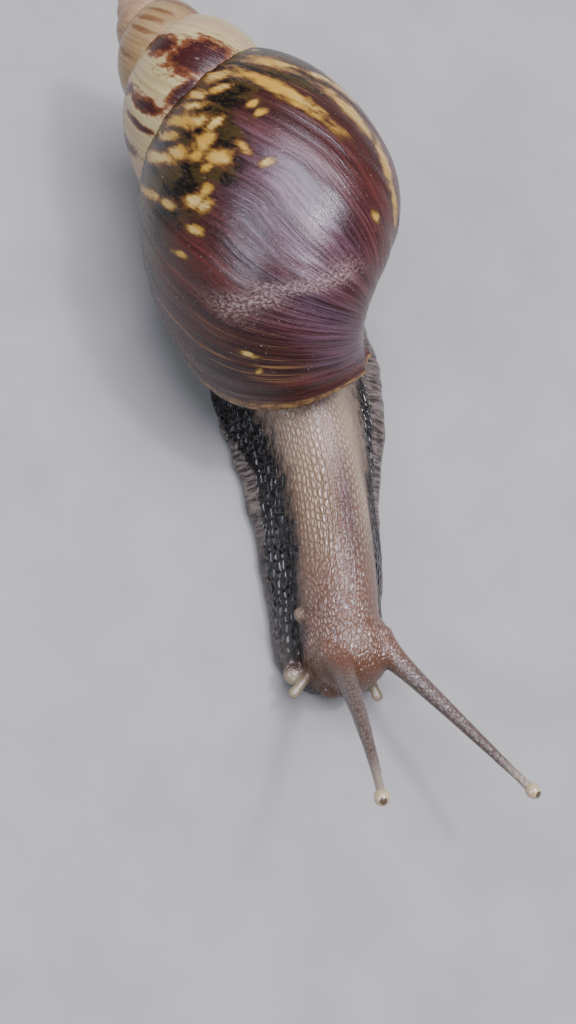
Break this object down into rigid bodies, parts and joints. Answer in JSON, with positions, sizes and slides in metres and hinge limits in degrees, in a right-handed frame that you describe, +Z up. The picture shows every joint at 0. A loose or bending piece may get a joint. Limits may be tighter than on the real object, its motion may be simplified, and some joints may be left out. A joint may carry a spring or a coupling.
{
  "type": "giant african land snail",
  "caption": "Crawling giant African land snail: conical spiral shell, long extended neck, two raised eye tentacles and a broad flat foot, as a still life-size model.",
  "frame": {"origin": "centre of the bounding box's base, on the floor under the foot", "axes": "+Z up; the snail faces -Y, its right side is towards -X, and the spire points back to +Y and -X"},
  "size_m": [0.064, 0.1472, 0.0438],
  "materials": {
    "shell_dark": "worn gloss, dark maroon brown with ochre flames",
    "shell_pale": "satin, cream with brown blotches",
    "mantle": "wet, smooth",
    "skin": "wet, beaded with long tubercles",
    "foot_skin": "wet, dark, finely wrinkled",
    "pale_skin": "wet, translucent",
    "eye": "wet gloss with a dark centre"
  },
  "bodies": {
    "root": {"shell_body_whorl": "shell_dark", "shell_penultimate_whorl": "shell_pale", "shell_spire": "shell_pale", "shell_apex": "shell_pale", "mantle_collar": "mantle", "neck_front": "skin", "neck_rear": "skin", "trunk": "skin", "tail": "skin", "foot_fringe_left_front": "foot_skin", "foot_fringe_left_rear": "foot_skin", "foot_fringe_right_front": "foot_skin", "foot_fringe_right_rear": "foot_skin", "foot_front": "foot_skin", "head": "skin", "tentacle_upper_left": "skin", "tentacle_upper_right": "skin", "eye_left": "eye", "eye_right": "eye", "tentacle_lower_left": "pale_skin", "tentacle_lower_right": "pale_skin", "mouth_lappet_left": "pale_skin", "mouth_lappet_right": "pale_skin"}
  },
  "joints": []
}
